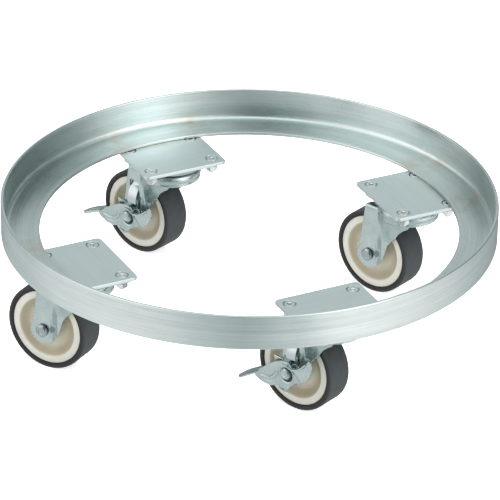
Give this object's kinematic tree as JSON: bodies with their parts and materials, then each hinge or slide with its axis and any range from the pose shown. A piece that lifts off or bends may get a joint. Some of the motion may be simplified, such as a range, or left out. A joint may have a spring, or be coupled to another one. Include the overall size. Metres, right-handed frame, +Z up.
{
  "type": "drum dolly",
  "caption": "Round steel ring dolly for a drum: an open angle ring on bolted swivel casters with rubber wheels, some of them with a foot brake.",
  "frame": {"origin": "on the ring axis, level with the top face of the shelf that the drum stands on", "axes": "+Z up along the ring axis; +X through the caster 1 swivel axis, +Y through caster 2, which has a brake"},
  "size_m": [0.606, 0.6248, 0.1885],
  "materials": {
    "ring_steel": "stainless, brushed round the ring",
    "plate_steel": "stainless, mill finish with a fine grain",
    "weld_steel": "weld metal with a slight heat tint",
    "caster_steel": "pressed stainless sheet, satin",
    "screw_steel": "turned stainless",
    "spring_steel": "bright rolled strip",
    "tread_rubber": "dark grey-brown moulded rubber",
    "hub_plastic": "cream moulded nylon"
  },
  "bodies": {
    "ring": {"ring_frame": "ring_steel", "weld_beads": "weld_steel", "plate_screws": "screw_steel", "plate_nuts": "screw_steel", "lock_washers": "screw_steel", "mount_plate_1": "plate_steel", "mount_plate_2": "plate_steel", "mount_plate_3": "plate_steel", "mount_plate_4": "plate_steel", "top_plate_1": "caster_steel", "top_plate_2": "caster_steel", "top_plate_3": "caster_steel", "top_plate_4": "caster_steel", "king_pin_1": "screw_steel", "king_pin_2": "screw_steel", "king_pin_3": "screw_steel", "king_pin_4": "screw_steel", "race_cup_1": "caster_steel", "race_cup_2": "caster_steel", "race_cup_3": "caster_steel", "race_cup_4": "caster_steel"},
    "fork_body_1": {"fork_1": "caster_steel", "swivel_balls_1": "screw_steel", "axle_bolt_1": "screw_steel", "axle_nut_1": "screw_steel", "axle_sleeve_1": "screw_steel"},
    "wheel_1": {"wheel_hub_1": "hub_plastic", "wheel_tread_1": "tread_rubber"},
    "fork_body_2": {"fork_2": "caster_steel", "swivel_balls_2": "screw_steel", "axle_bolt_2": "screw_steel", "axle_nut_2": "screw_steel", "axle_sleeve_2": "screw_steel", "brake_spring_2": "spring_steel"},
    "wheel_2": {"wheel_hub_2": "hub_plastic", "wheel_tread_2": "tread_rubber"},
    "lever_2": {"brake_lever_2": "caster_steel"},
    "fork_body_3": {"fork_3": "caster_steel", "swivel_balls_3": "screw_steel", "axle_bolt_3": "screw_steel", "axle_nut_3": "screw_steel", "axle_sleeve_3": "screw_steel"},
    "wheel_3": {"wheel_hub_3": "hub_plastic", "wheel_tread_3": "tread_rubber"},
    "fork_body_4": {"fork_4": "caster_steel", "swivel_balls_4": "screw_steel", "axle_bolt_4": "screw_steel", "axle_nut_4": "screw_steel", "axle_sleeve_4": "screw_steel", "brake_spring_4": "spring_steel"},
    "wheel_4": {"wheel_hub_4": "hub_plastic", "wheel_tread_4": "tread_rubber"},
    "lever_4": {"brake_lever_4": "caster_steel"}
  },
  "joints": [
    {"name": "swivel_1", "type": "hinge", "parent": "ring", "child": "fork_body_1", "pos_m": [0.2225, 0, -0.019], "axis": [0, 0, 1], "continuous": true},
    {"name": "wheel_spin_1", "type": "hinge", "parent": "fork_body_1", "child": "wheel_1", "pos_m": [0.20559, 0.03888, -0.094], "axis": [-0.9171, -0.3987, 0], "continuous": true},
    {"name": "swivel_2", "type": "hinge", "parent": "ring", "child": "fork_body_2", "pos_m": [0, 0.2225, -0.019], "axis": [0, 0, 1], "continuous": true},
    {"name": "wheel_spin_2", "type": "hinge", "parent": "fork_body_2", "child": "wheel_2", "pos_m": [-0.01609, 0.26173, -0.094], "axis": [-0.9252, -0.3795, 0], "continuous": true},
    {"name": "brake_2", "type": "hinge", "parent": "fork_body_2", "child": "lever_2", "pos_m": [-0.01609, 0.26173, -0.094], "axis": [-0.9252, -0.3795, 0], "range_deg": [0, 18]},
    {"name": "swivel_3", "type": "hinge", "parent": "ring", "child": "fork_body_3", "pos_m": [-0.2225, 0, -0.019], "axis": [0, 0, 1], "continuous": true},
    {"name": "wheel_spin_3", "type": "hinge", "parent": "fork_body_3", "child": "wheel_3", "pos_m": [-0.24553, 0.0356, -0.094], "axis": [-0.8396, -0.5432, 0], "continuous": true},
    {"name": "swivel_4", "type": "hinge", "parent": "ring", "child": "fork_body_4", "pos_m": [0, -0.2225, -0.019], "axis": [0, 0, 1], "continuous": true},
    {"name": "wheel_spin_4", "type": "hinge", "parent": "fork_body_4", "child": "wheel_4", "pos_m": [-0.01711, -0.18371, -0.094], "axis": [-0.915, -0.4035, 0], "continuous": true},
    {"name": "brake_4", "type": "hinge", "parent": "fork_body_4", "child": "lever_4", "pos_m": [-0.01711, -0.18371, -0.094], "axis": [-0.915, -0.4035, 0], "range_deg": [-8, 10]}
  ]
}
